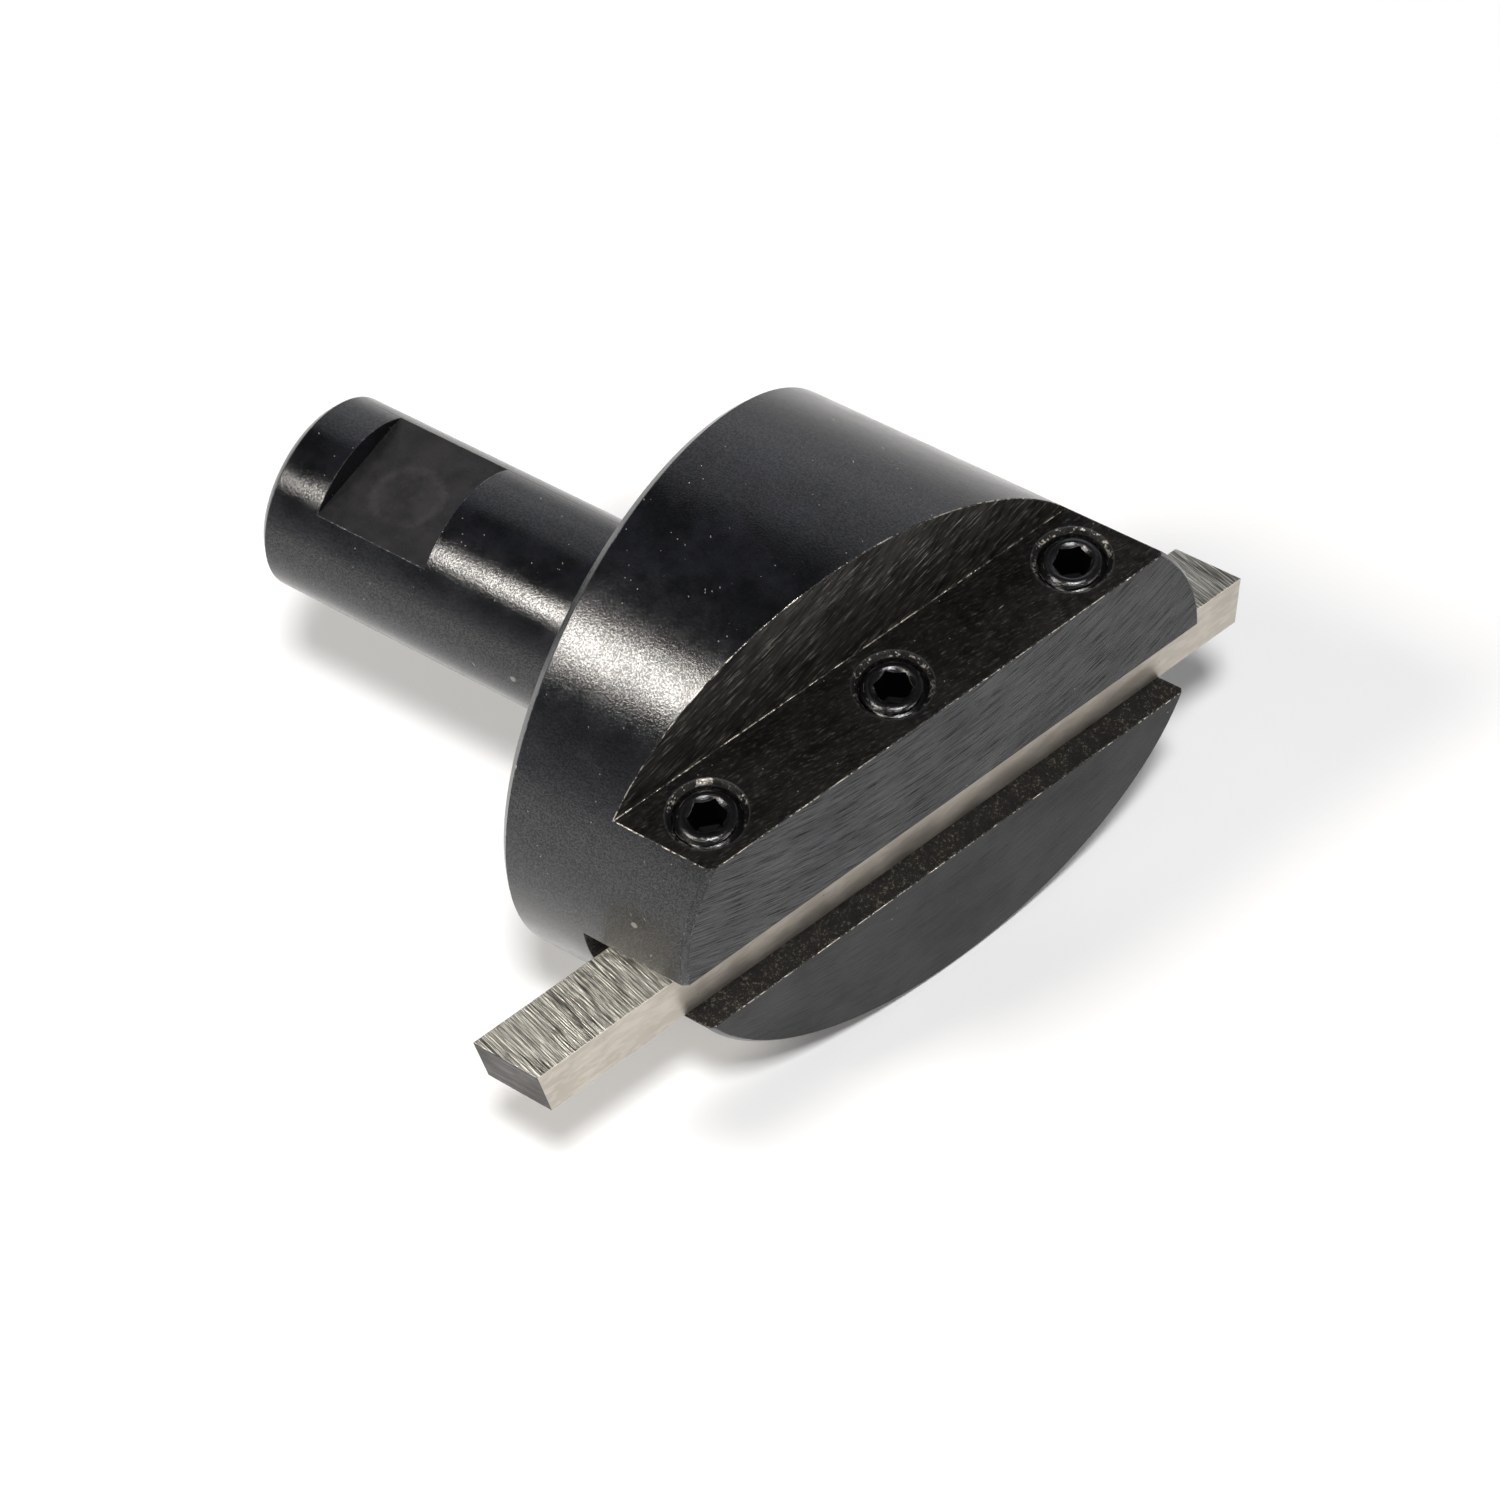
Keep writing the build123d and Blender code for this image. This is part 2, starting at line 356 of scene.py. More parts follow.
def milled_black_oxide(name, tilt, reach, depth, hair_wear, shine, dark, light):
    """Steel, face milled and blackened: the step that the set screws stand in."""
    # The cutter's strokes stay in the surface and hold oil and dust, so it is duller and browner.
    colours = bpy.context.scene.fly_cutter_finishes
    sizes = bpy.context.scene.fly_cutter_holder
    material, tree = new_material(name)
    place = millimetres(tree, sizes.slot_angle)
    turned = add(tree, "ShaderNodeMapping", {"Vector": place, "Rotation": tilt})
    drawn_out = add(tree, "ShaderNodeMapping", {"Vector": turned, "Scale": (1.6, reach, 1.6)})
    strokes = add(tree, "ShaderNodeTexNoise", {
        "Vector": drawn_out, "Scale": 1 / 0.3, "Detail": 4.0, "Roughness": 0.8,
    })
    swept = cutter_arcs(tree, turned, middle=2.0, radius=30.0, along=0.1, across=1.8)
    bands = add(tree, "ShaderNodeTexNoise", {
        "Vector": swept, "Scale": 1 / 1.5, "Detail": 3.0, "Roughness": 0.6,
    })
    clouds = add(tree, "ShaderNodeTexNoise", {
        "Vector": place, "Scale": 1 / 3.0, "Detail": 4.0, "Roughness": 0.6,
    })
    grain = add(tree, "ShaderNodeTexNoise", {
        "Vector": place, "Scale": 1 / 0.2, "Detail": 2.0, "Roughness": 0.7,
    })
    hairs = add(tree, "ShaderNodeMapRange", {
        "Value": strokes, "From Min": 0.56, "From Max": 0.68,
    }, **SMOOTH)
    rubbed = rubbed_edges(tree, reach=0.22 * MM, patches=grain, least=0.5, most=0.6)
    dots = strongest(
        tree,
        (specks(tree, place, spacing=0.6, size=0.06, share=0.12), 1.0),
        (scratches(tree, turned, turn=(0.0, 0.0, 1.4), spacing=0.5, size=0.05, share=0.08), 1.0),
    )
    worn = strongest(tree, (dots, 0.6), (hairs, hair_wear), (rubbed, 1.0))
    brown = patched(tree, dark, light, layer=clouds, low=0.35, high=0.65)
    brown = patched(tree, brown, dark, layer=bands, low=0.4, high=0.7, most=0.3)
    height = add(tree, "ShaderNodeMath", {
        0: strokes, 1: add(tree, "ShaderNodeMath", {0: grain, 1: 0.4}, operation="MULTIPLY"),
    }, operation="ADD")
    coated_steel(tree, worn, brown, colours.steel, (strokes, 0.34, 0.46), {
        "IOR": 1.5,
        "Specular IOR Level": add(tree, "ShaderNodeMapRange", {
            "Value": add(tree, "ShaderNodeMath", {0: strokes, 1: bands}, operation="ADD"), "From Min": 0.8,
            "From Max": 1.2, "To Min": 0.1, "To Max": shine,
        }, **SMOOTH),
        "Normal": add(tree, "ShaderNodeBump", {"Height": height, "Distance": depth, "Strength": 1.0}),
    })
    return material


def faced_black_oxide(name, contrast, shine, dark, light):
    """Steel, faced with a wide cutter and blackened: a front face of the jaws."""
    # Shallow arcs of the cutter cross the face, so it looks like dark brushed metal.
    colours = bpy.context.scene.fly_cutter_finishes
    sizes = bpy.context.scene.fly_cutter_holder
    material, tree = new_material(name)
    place = millimetres(tree, sizes.slot_angle)
    fine = add(tree, "ShaderNodeTexNoise", {
        "Vector": cutter_arcs(tree, place, middle=8.0, radius=50.0, along=0.07, across=1.9),
        "Scale": 1 / 0.27, "Detail": 3.0, "Roughness": 0.75,
    })
    broad = add(tree, "ShaderNodeTexNoise", {
        "Vector": cutter_arcs(tree, place, middle=8.0, radius=50.0, along=0.1, across=1.0),
        "Scale": 1 / 2.0, "Detail": 3.0, "Roughness": 0.6,
    })
    clouds = add(tree, "ShaderNodeTexNoise", {
        "Vector": place, "Scale": 1 / 7.0, "Detail": 3.0, "Roughness": 0.6,
    })
    lines = add(tree, "ShaderNodeMapRange", {"Value": fine, "From Min": 0.46, "From Max": 0.38}, **SMOOTH)
    pale = add(tree, "ShaderNodeMapRange", {"Value": fine, "From Min": 0.58, "From Max": 0.68}, **SMOOTH)
    dots = strongest(
        tree,
        (specks(tree, place, spacing=1.2, size=0.07, share=0.06), 1.0),
        (scratches(tree, place, turn=(0.5, 0.2, 1.0), spacing=1.0, size=0.07, share=0.06), 1.0),
    )
    worn = strongest(tree, (dots, 0.5), (pale, contrast * 0.1))
    grey = patched(tree, dark, light, layer=broad, low=0.35, high=0.7)
    grey = patched(tree, grey, dark, layer=clouds, low=0.35, high=0.7, most=0.4)
    grey = add(tree, "ShaderNodeMix", {
        SHARE: add(tree, "ShaderNodeMath", {0: lines, 1: contrast}, operation="MULTIPLY"), UNDER: grey,
        OVER: linear("#050506"),
    }, BLEND, data_type="RGBA")
    coated_steel(tree, worn, grey, colours.steel, (fine, 0.28, 0.4), {
        "IOR": 1.5,
        "Specular IOR Level": add(tree, "ShaderNodeMath", {
            0: add(tree, "ShaderNodeMapRange", {
                "Value": fine, "From Min": 0.38, "From Max": 0.54, "To Min": shine[0], "To Max": shine[1],
            }, **SMOOTH),
            1: add(tree, "ShaderNodeMapRange", {
                "Value": clouds, "From Min": 0.3, "From Max": 0.7, "To Min": 0.7, "To Max": 1.15,
            }, **SMOOTH),
        }, operation="MULTIPLY"),
        "Normal": add(tree, "ShaderNodeBump", {
            "Height": fine, "Distance": 0.05 * MM * contrast, "Strength": 1.0,
        }),
    })
    return material


def slot_black_oxide():
    """Steel, slotted with an end mill and blackened: inside the tool bit's slot."""
    # Rough cutter marks and tiny chips of swarf that glint out of oily dust.
    sizes = bpy.context.scene.fly_cutter_holder
    material, tree = new_material("slot_black_oxide")
    place = millimetres(tree, sizes.slot_angle)
    across_slot = millimetres(tree, sizes.slot_angle + 1.2)
    swept = cutter_arcs(tree, across_slot, middle=4.0, radius=6.0, along=0.5, across=1.0)
    strokes = add(tree, "ShaderNodeTexNoise", {
        "Vector": swept, "Scale": 1 / 0.5, "Detail": 4.0, "Roughness": 0.7,
    })
    chips = add(tree, "ShaderNodeTexNoise", {
        "Vector": place, "Scale": 1 / 0.25, "Detail": 2.0, "Roughness": 0.8,
    })
    clouds = add(tree, "ShaderNodeTexNoise", {
        "Vector": place, "Scale": 1 / 1.6, "Detail": 4.0, "Roughness": 0.7,
    })
    bare = add(tree, "ShaderNodeMath", {
        0: add(tree, "ShaderNodeMapRange", {"Value": chips, "From Min": 0.55, "From Max": 0.66}, **SMOOTH),
        1: add(tree, "ShaderNodeMapRange", {"Value": clouds, "From Min": 0.36, "From Max": 0.56}, **SMOOTH),
    }, operation="MULTIPLY")
    rubbed = rubbed_edges(tree, reach=0.3 * MM, patches=chips, least=0.48, most=0.56)
    worn = strongest(tree, (bare, 0.4), (rubbed, 1.0))
    brown = patched(tree, linear("#0a0908"), linear("#191612"), layer=clouds, low=0.35, high=0.7)
    height = add(tree, "ShaderNodeMath", {0: strokes, 1: chips}, operation="ADD")
    coated_steel(tree, worn, brown, linear("#a39b8c"), (strokes, 0.38, 0.55), {
        "IOR": 1.5, "Specular IOR Level": 0.35,
        "Normal": add(tree, "ShaderNodeBump", {"Height": height, "Distance": 0.2 * MM, "Strength": 1.0}),
    })
    return material


def flat_black_oxide():
    """Steel, milled and blackened: the side-lock flat, with the print of a holder's screw."""
    # Duller than the shank, with a faint smudged disc where a side-lock screw has sat.
    sizes = bpy.context.scene.fly_cutter_holder
    material, tree = new_material("flat_black_oxide")
    place = millimetres(tree)
    middle = (HOLDER_LOW.x + sizes.flat_middle) / MM
    flattened = add(tree, "ShaderNodeMapping", {
        "Vector": place, "Location": (-middle, 0.6, 0.0), "Scale": (1.0, 1.0, 0.0),
    })
    radius = add(tree, "ShaderNodeVectorMath", {0: flattened}, "Value", operation="LENGTH")
    ragged = add(tree, "ShaderNodeMath", {
        0: radius,
        1: add(tree, "ShaderNodeMath", {
            0: add(tree, "ShaderNodeTexNoise", {
                "Vector": place, "Scale": 1 / 1.6, "Detail": 4.0, "Roughness": 0.7,
            }),
            1: 1.6,
        }, operation="MULTIPLY"),
    }, operation="ADD")
    rim = add(tree, "ShaderNodeMath", {
        0: add(tree, "ShaderNodeMapRange", {"Value": ragged, "From Min": 3.2, "From Max": 3.9}, **SMOOTH),
        1: add(tree, "ShaderNodeMapRange", {
            "Value": ragged, "From Min": 4.0, "From Max": 4.6, "To Min": 1.0, "To Max": 0.0,
        }, **SMOOTH),
    }, operation="MULTIPLY")
    disc = add(tree, "ShaderNodeMapRange", {
        "Value": ragged, "From Min": 3.4, "From Max": 4.4, "To Min": 1.0, "To Max": 0.0,
    }, **SMOOTH)
    clouds = add(tree, "ShaderNodeTexNoise", {
        "Vector": place, "Scale": 1 / 3.0, "Detail": 4.0, "Roughness": 0.7,
    })
    mark = add(tree, "ShaderNodeMath", {
        0: add(tree, "ShaderNodeMath", {
            0: add(tree, "ShaderNodeMath", {0: disc, 1: 0.35}, operation="MULTIPLY"), 1: rim,
        }, operation="ADD"),
        1: add(tree, "ShaderNodeMapRange", {
            "Value": clouds, "From Min": 0.38, "From Max": 0.62, "To Min": 0.3,
        }, **SMOOTH),
    }, operation="MULTIPLY")
    grain = add(tree, "ShaderNodeTexNoise", {
        "Vector": place, "Scale": 1 / 0.25, "Detail": 3.0, "Roughness": 0.7,
    })
    swirl = add(tree, "ShaderNodeTexNoise", {
        "Vector": millimetres(tree, turn=0.6, stretch=(0.3, 2.4, 1.0)), "Scale": 1 / 0.5, "Detail": 3.0,
        "Roughness": 0.7,
    })
    dots = add(tree, "ShaderNodeMath", {
        0: specks(tree, place, spacing=1.6, size=0.08, share=0.08), 1: 0.4,
    }, operation="MULTIPLY")
    grey = patched(tree, linear("#19181a"), linear("#232122"), layer=clouds, low=0.35, high=0.65)
    grey = add(tree, "ShaderNodeMix", {
        SHARE: add(tree, "ShaderNodeMath", {0: mark, 1: 0.45}, operation="MULTIPLY"), UNDER: grey,
        OVER: linear("#3a3636"),
    }, BLEND, data_type="RGBA")
    height = add(tree, "ShaderNodeMath", {
        0: add(tree, "ShaderNodeMath", {0: swirl, 1: 0.8}, operation="MULTIPLY"), 1: grain,
    }, operation="ADD")
    coated_steel(tree, dots, grey, linear("#9a948c"), (clouds, 0.42, 0.52), {
        "IOR": 1.5,
        "Normal": add(tree, "ShaderNodeBump", {"Height": height, "Distance": 0.03 * MM, "Strength": 1.0}),
    })
    return material


def edge_steel(name, bare_from, dark, light, roughness):
    """Edges where handling has rubbed the black oxide away in short stretches; in the hollow step corner
    the same bright stretches are a painted highlight.
    """
    # Bright, broken lines with black gaps between them.
    material, tree = new_material(name)
    place = millimetres(tree)
    stretches = add(tree, "ShaderNodeTexNoise", {
        "Vector": place, "Scale": 1 / 2.4, "Detail": 3.0, "Roughness": 0.7,
    })
    grit = add(tree, "ShaderNodeTexNoise", {
        "Vector": place, "Scale": 1 / 0.4, "Detail": 3.0, "Roughness": 0.8,
    })
    height = add(tree, "ShaderNodeMath", {
        0: add(tree, "ShaderNodeMath", {0: stretches, 1: 0.5}, operation="MULTIPLY"),
        1: add(tree, "ShaderNodeMath", {0: grit, 1: 0.5}, operation="MULTIPLY"),
    }, operation="ADD")
    bare = add(tree, "ShaderNodeMapRange", {
        "Value": height, "From Min": bare_from, "From Max": bare_from + 0.06,
    }, **SMOOTH)
    surface = add(tree, "ShaderNodeBsdfPrincipled", {
        "Base Color": add(tree, "ShaderNodeMix", {
            SHARE: bare, UNDER: dark, OVER: light,
        }, BLEND, data_type="RGBA"),
        "Metallic": bare, "Roughness": roughness, "Specular IOR Level": 0.3,
        "Normal": add(tree, "ShaderNodeBump", {"Height": grit, "Distance": 0.1 * MM, "Strength": 1.0}),
    })
    add(tree, "ShaderNodeOutputMaterial", {"Surface": surface})
    return material


def ground_tool_steel(name, slant, stretch, size, contrast, shades, depth, roughness):
    """High speed steel, ground and left bright: strokes of the grinding wheel lie across each face."""
    # Warm silver with light and dark streaks along the grinding strokes, and short specks of grit. The
    # strokes are real; the dark and pale of the streaks are painted reflection.
    # Real strokes are finer than 0.05 mm, too fine to be seen, so they are drawn at about 0.1 mm.
    sizes = bpy.context.scene.fly_cutter_holder
    # The first and last shades paint the dark and pale reflections along the strokes.
    dark_reflection, body, stroke = shades
    material, tree = new_material(name)
    place = millimetres(tree, sizes.slot_angle - slant)
    along = add(tree, "ShaderNodeMapping", {"Vector": place, "Scale": stretch})
    strokes = add(tree, "ShaderNodeTexNoise", {
        "Vector": along, "Scale": 1 / size, "Detail": 2.0, "Roughness": 0.8,
    })
    bands = add(tree, "ShaderNodeTexNoise", {
        "Vector": along, "Scale": 1 / (size * 9), "Detail": 3.0, "Roughness": 0.7,
    })
    clouds = add(tree, "ShaderNodeTexNoise", {
        "Vector": place, "Scale": 1 / 4.0, "Detail": 3.0, "Roughness": 0.6,
    })
    dark = add(tree, "ShaderNodeMapRange", {
        "Value": strokes, "From Min": 0.51, "From Max": 0.44, "To Max": contrast,
    }, **SMOOTH)
    dark = add(tree, "ShaderNodeMath", {
        0: dark,
        1: add(tree, "ShaderNodeMapRange", {
            "Value": bands, "From Min": 0.35, "From Max": 0.65, "To Min": 0.35,
        }, **SMOOTH),
    }, operation="MULTIPLY")
    silver = add(tree, "ShaderNodeMix", {
        SHARE: dark, UNDER: body, OVER: dark_reflection,
    }, BLEND, data_type="RGBA")
    silver = patched(tree, silver, stroke, layer=strokes, low=0.53, high=0.61, most=contrast)
    silver = patched(tree, silver, body, layer=clouds, low=0.4, high=0.7, most=0.3 * contrast)
    pits = strongest(
        tree,
        (scratches(tree, place, turn=(0.0, 0.4, 0.4), spacing=0.7, size=0.08, share=0.1), 1.0),
        (specks(tree, place, spacing=1.1, size=0.09, share=0.03), 1.0),
    )
    silver = add(tree, "ShaderNodeMix", {
        SHARE: add(tree, "ShaderNodeMath", {0: pits, 1: 0.8}, operation="MULTIPLY"), UNDER: silver,
        OVER: linear("#2e2b26"),
    }, BLEND, data_type="RGBA")
    rubbed = near_edge(tree, 0.15 * MM)
    silver = add(tree, "ShaderNodeMix", {
        SHARE: add(tree, "ShaderNodeMath", {0: rubbed, 1: 0.5}, operation="MULTIPLY"), UNDER: silver,
        OVER: stroke,
    }, BLEND, data_type="RGBA")
    surface = add(tree, "ShaderNodeBsdfPrincipled", {
        "Base Color": silver, "Metallic": 1.0,
        "Roughness": add(tree, "ShaderNodeMapRange", {
            "Value": clouds, "From Min": 0.35, "From Max": 0.65, "To Min": roughness,
            "To Max": roughness + 0.1,
        }, **SMOOTH),
        "Normal": add(tree, "ShaderNodeBump", {"Height": strokes, "Distance": depth, "Strength": 1.0}),
    })
    add(tree, "ShaderNodeOutputMaterial", {"Surface": surface})
    return material


def screw_black_oxide():
    """Alloy steel set screw, rolled thread, blackened and oiled."""
    # Small, smooth and glossy, with a little bare metal where the key and the taps have rubbed.
    colours = bpy.context.scene.fly_cutter_finishes
    material, tree = new_material("screw_black_oxide")
    place = millimetres(tree)
    grain = add(tree, "ShaderNodeTexNoise", {
        "Vector": place, "Scale": 1 / 0.25, "Detail": 3.0, "Roughness": 0.7,
    })
    clouds = add(tree, "ShaderNodeTexNoise", {
        "Vector": place, "Scale": 1 / 1.0, "Detail": 3.0, "Roughness": 0.6,
    })
    rubbed = rubbed_edges(tree, reach=0.1 * MM, patches=clouds, least=0.5, most=0.6)
    worn = strongest(tree, (rubbed, 0.5), (specks(tree, place, spacing=0.5, size=0.05, share=0.08), 1.0))
    coated_steel(tree, worn, colours.screw_black, colours.steel, (grain, 0.14, 0.26), {
        "IOR": 1.65, "Specular IOR Level": 0.4,
        "Normal": add(tree, "ShaderNodeBump", {"Height": grain, "Distance": 0.03 * MM, "Strength": 1.0}),
    })
    return material


def oily_socket():
    """The inside of the screws' sockets: broached and blackened, painted near black and dull as painted
    shade.
    """
    # Light hardly finds its way out, so it is painted as the blackest part: painted shade.
    material, tree = new_material("oily_socket")
    surface = add(tree, "ShaderNodeBsdfPrincipled", {
        "Base Color": linear("#020202"), "Roughness": 0.6, "Specular IOR Level": 0.08,
    })
    add(tree, "ShaderNodeOutputMaterial", {"Surface": surface})
    return material


def floor_paper():
    """White backdrop paper, lit from behind as well as from above."""
    # Plain and matt. Its own light keeps the shadow on it soft and pale.
    colours = bpy.context.scene.fly_cutter_finishes
    studio = bpy.context.scene.fly_cutter_studio
    material, tree = new_material("floor_paper")
    surface = add(tree, "ShaderNodeBsdfPrincipled", {
        "Base Color": tuple(colours.floor), "Roughness": 0.9, "Specular IOR Level": 0.0,
        "Emission Color": (1.0, 1.0, 1.0, 1.0), "Emission Strength": studio.floor_glow,
    })
    add(tree, "ShaderNodeOutputMaterial", {"Surface": surface})
    return material


# ---------------------------------------------------------------- mesh helpers


def new_piece(name, shape):
    """A mesh object in the row frame from a bmesh, which is freed."""
    mesh = bpy.data.meshes.new(name)
    shape.to_mesh(mesh)
    shape.free()
    piece = bpy.data.objects.new(name, mesh)
    bpy.context.scene.collection.objects.link(piece)
    return piece


def remove(piece):
    """Takes a helper object and its mesh away."""
    mesh = piece.data
    bpy.data.objects.remove(piece)
    bpy.data.meshes.remove(mesh)


def cut(piece, cutter):
    """Cuts one closed mesh out of another and takes the cutter away."""
    modifier = piece.modifiers.new("cut", "BOOLEAN")
    modifier.operation = "DIFFERENCE"
    modifier.solver = "EXACT"
    modifier.object = cutter
    bpy.context.view_layer.update()
    result = bpy.data.meshes.new_from_object(piece.evaluated_get(bpy.context.evaluated_depsgraph_get()))
    piece.modifiers.clear()
    old = piece.data
    piece.data = result
    bpy.data.meshes.remove(old)
    remove(cutter)
    if not result.polygons:
        raise RuntimeError(f"the cut left nothing of {piece.name}")


def lathe(profile, centre, axis, steps):
    """A closed bmesh turned from (along, radius) points whose first and last radius is 0."""
    shape = bmesh.new()
    side = axis.orthogonal().normalized()
    other = axis.cross(side)
    rings = []
    for along, radius in profile:
        if radius == 0:
            rings.append([shape.verts.new(centre + axis * along)])
            continue
        ring = []
        for step in range(steps):
            turn = math.tau * step / steps
            ring.append(shape.verts.new(
                centre + axis * along + (side * math.cos(turn) + other * math.sin(turn)) * radius))
        rings.append(ring)
    for first, second in zip(rings, rings[1:]):
        for step in range(steps):
            after = (step + 1) % steps
            corners = [first[step % len(first)], first[after % len(first)],
                       second[after % len(second)], second[step % len(second)]]
            shape.faces.new(list(dict.fromkeys(corners)))
    bmesh.ops.recalc_face_normals(shape, faces=shape.faces)
    return shape


def block(low, high, turn):
    """A closed box between two corners given in a frame turned about Z."""
    shape = bmesh.new()
    bmesh.ops.create_cube(shape, size=1.0)
    size = Vector(high) - Vector(low)
    middle = (Vector(high) + Vector(low)) / 2
    place = Matrix.Rotation(turn, 4, "Z") @ Matrix.Translation(middle) @ Matrix.Diagonal((*size, 1.0))
    bmesh.ops.transform(shape, matrix=place, verts=shape.verts)
    return shape


def sharp_edges(shape, least):
    """Edges where two faces meet at more than an angle."""
    return [e for e in shape.edges if len(e.link_faces) == 2 and e.calc_face_angle(0.0) > least]


def smooth(piece, sharpest):
    """Smooth shading with flat faces kept flat."""
    piece.data.shade_smooth()
    piece.data.set_sharp_from_angle(angle=sharpest)
    modifier = piece.modifiers.new("flat faces stay flat", "WEIGHTED_NORMAL")
    modifier.keep_sharp = True
    modifier.weight = 100


# ---------------------------------------------------------------- holder body


def front_normal(sizes):
    """The way the front plane and the slot face."""
    return Vector((math.cos(sizes.slot_angle), -math.sin(sizes.slot_angle), 0))


def holder_blank(sizes):
    """Shank and head as they leave the lathe."""
    radius = HOLDER_HIGH.z
    start = HOLDER_LOW.x
    end = (sizes.front_distance + radius * math.sin(sizes.slot_angle)) / math.cos(sizes.slot_angle)
    profile = [
        (start, 0),
        (start, sizes.shank_radius - sizes.shank_chamfer),
        (start + sizes.shank_chamfer, sizes.shank_radius),
        (0, sizes.shank_radius),
        (0, radius - sizes.back_chamfer),
        (sizes.back_chamfer, radius),
        (end, radius),
        (end, 0),
    ]
    return new_piece("holder_body_worn", lathe(profile, Vector(), Vector((1, 0, 0)), steps=240))


def mill_holder(holder, sizes):
    """The front plane and its chamfered rim, then the step, the slot and the flat."""
    turn = -sizes.slot_angle
    far = 4 * HOLDER_HIGH.z
    front = sizes.front_distance
    slot_bottom = sizes.slot_top - sizes.slot_height
    flat_middle = HOLDER_LOW.x + sizes.flat_middle
    flat_half = sizes.flat_length / 2
    flat_level = sizes.shank_radius - sizes.flat_depth
    cut(holder, new_piece("cutter", block((front, -far, -far), (front + far, far, far), turn)))
    chamfer_front(holder, sizes)
    cutters = [
        block((front - sizes.step_depth, -far, sizes.step_height), (front + far, far, far), turn),
        block((front - sizes.slot_depth, -far, slot_bottom), (front + far, far, sizes.slot_top), turn),
        block((flat_middle - flat_half, -far, flat_level), (flat_middle + flat_half, far, far), 0.0),
    ]
    for cutter in cutters:
        cut(holder, new_piece("cutter", cutter))


def screw_axes():
    """The middle of each set screw's socket end, from the frame."""
    places = []
    for node in SCREWS:
        low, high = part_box(node)
        places.append(Vector(((low.x + high.x) / 2, (low.y + high.y) / 2, high.z)))
    return places


def drill_holder(holder, sizes):
    """The countersunk holes for the set screws."""
    for place in screw_axes():
        foot = Vector((place.x, place.y, sizes.step_height))
        over = sizes.countersink
        profile = [
            (over, 0),
            (over, sizes.hole_radius + sizes.countersink + over),
            (-sizes.countersink, sizes.hole_radius),
            (sizes.slot_top - sizes.step_height - 4 * over, sizes.hole_radius),
            (sizes.slot_top - sizes.step_height - 4 * over, 0),
        ]
        cut(holder, new_piece("cutter", lathe(profile, foot, Vector((0, 0, 1)), steps=72)))


def chamfer_front(holder, sizes):
    """Breaks the whole rim of the front plane, before the step and the slot cut into it."""
    shape = bmesh.new()
    shape.from_mesh(holder.data)
    bmesh.ops.remove_doubles(shape, verts=shape.verts, dist=0.02 * MM)
    bmesh.ops.dissolve_degenerate(shape, dist=0.02 * MM, edges=shape.edges)
    outward = front_normal(sizes)
    chosen = []
    for edge in sharp_edges(shape, least=math.radians(15)):
        if all(abs(v.co.dot(outward) - sizes.front_distance) < 0.01 * MM for v in edge.verts):
            chosen.append(edge)
    bmesh.ops.bevel(shape, geom=chosen, offset=sizes.front_chamfer, segments=1, affect="EDGES",
                    clamp_overlap=False)
    shape.to_mesh(holder.data)
    shape.free()


def edge_wear(centre, sizes):
    """Which finish a rounded edge has: rubbed bright or only a little paler than the faces. The hollow step
    corner gets the bright finish as a painted highlight.
    """
    outward = front_normal(sizes)
    forward = centre.dot(outward)
    near = 0.2 * MM
    on_wall = abs(forward - sizes.front_distance + sizes.step_depth) < near
    on_round = abs(math.hypot(centre.y, centre.z) - HOLDER_HIGH.z) < near
    on_step = abs(centre.z - sizes.step_height) < near
    on_ledge = abs(centre.z - sizes.slot_top + sizes.slot_height) < near
    # The step and its wall meet in a hollow corner that handling can't reach; its bright bare finish is a
    # painted highlight along the fillet.
    step_corner_glint = on_wall and on_step
    step_rim = on_step and on_round and centre.y < 0
    ledge_rim = on_ledge and abs(forward - sizes.front_distance) < near
    wall_rim = on_wall and on_round and centre.z > sizes.step_height
    roof_rim = abs(centre.z - sizes.slot_top) < near and on_round
    front_rim = on_step and abs(forward - sizes.front_distance) < near
    # The outer rims are rubbed bright and were picked where edges catch the light, so their brightness is
    # part wear and part painted highlight.
    if step_corner_glint or step_rim or ledge_rim or wall_rim or roof_rim or front_rim:
        return FINISHES.index("rubbed_and_glint_edge")
    return FINISHES.index("dull_edge")


def round_edges(holder, sizes):
    """Rounds every sharp edge a little and gives the roundings their own finish."""
    shape = bmesh.new()
    shape.from_mesh(holder.data)
    bmesh.ops.remove_doubles(shape, verts=shape.verts, dist=0.004 * MM)
    bmesh.ops.dissolve_degenerate(shape, dist=0.004 * MM, edges=shape.edges)
    edges = sharp_edges(shape, least=math.radians(20))
    made = bmesh.ops.bevel(shape, geom=edges, offset=sizes.edge_round, segments=2, profile=0.5,
                           affect="EDGES", clamp_overlap=False)
    for face in made["faces"]:
        face.material_index = edge_wear(face.calc_center_median(), sizes)
    shape.to_mesh(holder.data)
    shape.free()


